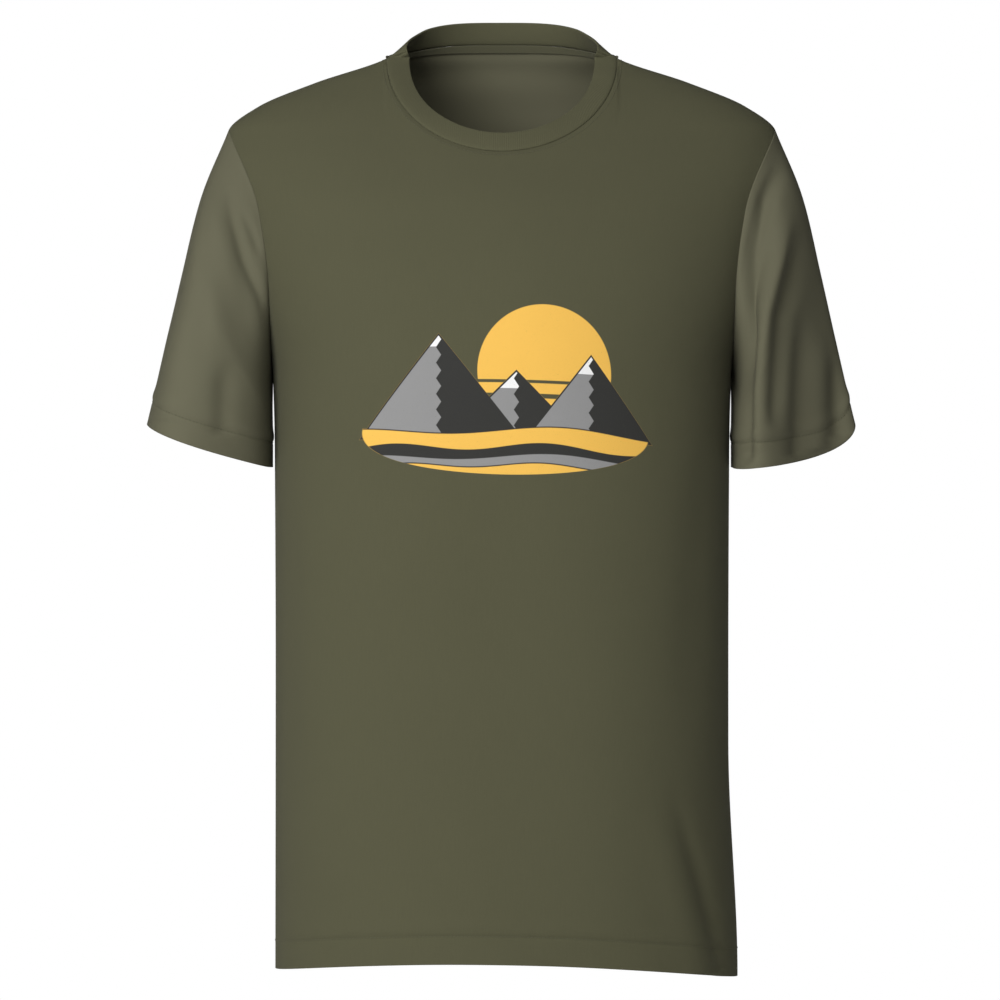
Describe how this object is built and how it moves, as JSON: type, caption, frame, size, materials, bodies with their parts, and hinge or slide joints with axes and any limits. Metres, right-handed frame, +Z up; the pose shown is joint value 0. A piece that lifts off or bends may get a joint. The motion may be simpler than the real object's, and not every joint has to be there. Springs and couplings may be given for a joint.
{
  "type": "short-sleeved crew-neck T-shirt",
  "caption": "Olive jersey T-shirt with a crew collar rib, set-in short sleeves and turned-up hems, filled out as if worn.",
  "frame": {"origin": "centre of the neck opening, level with the high points of the shoulders", "axes": "+Z up along the wearer's neck, -Y to the wearer's front, +X to the wearer's left"},
  "size_m": [0.558, 0.2531, 0.7505],
  "materials": {
    "jersey": "plain cotton jersey knit, matt, with a screen print on the chest",
    "rib": "one-by-one rib knit, matt",
    "tape": "self-colour binding tape, matt",
    "overlock": "overlocked seam allowance, matt"
  },
  "bodies": {
    "root": {"front_panel": "jersey", "back_panel": "jersey", "sleeve_left": "jersey", "sleeve_right": "jersey", "neck_rib": "rib", "neck_tape": "tape", "trunk_hem": "jersey", "sleeve_hem_left": "jersey", "sleeve_hem_right": "jersey", "side_seam_left": "overlock", "side_seam_right": "overlock", "armhole_seam_left": "overlock", "armhole_seam_right": "overlock", "shoulder_seam_left": "overlock", "shoulder_seam_right": "overlock"}
  },
  "joints": []
}
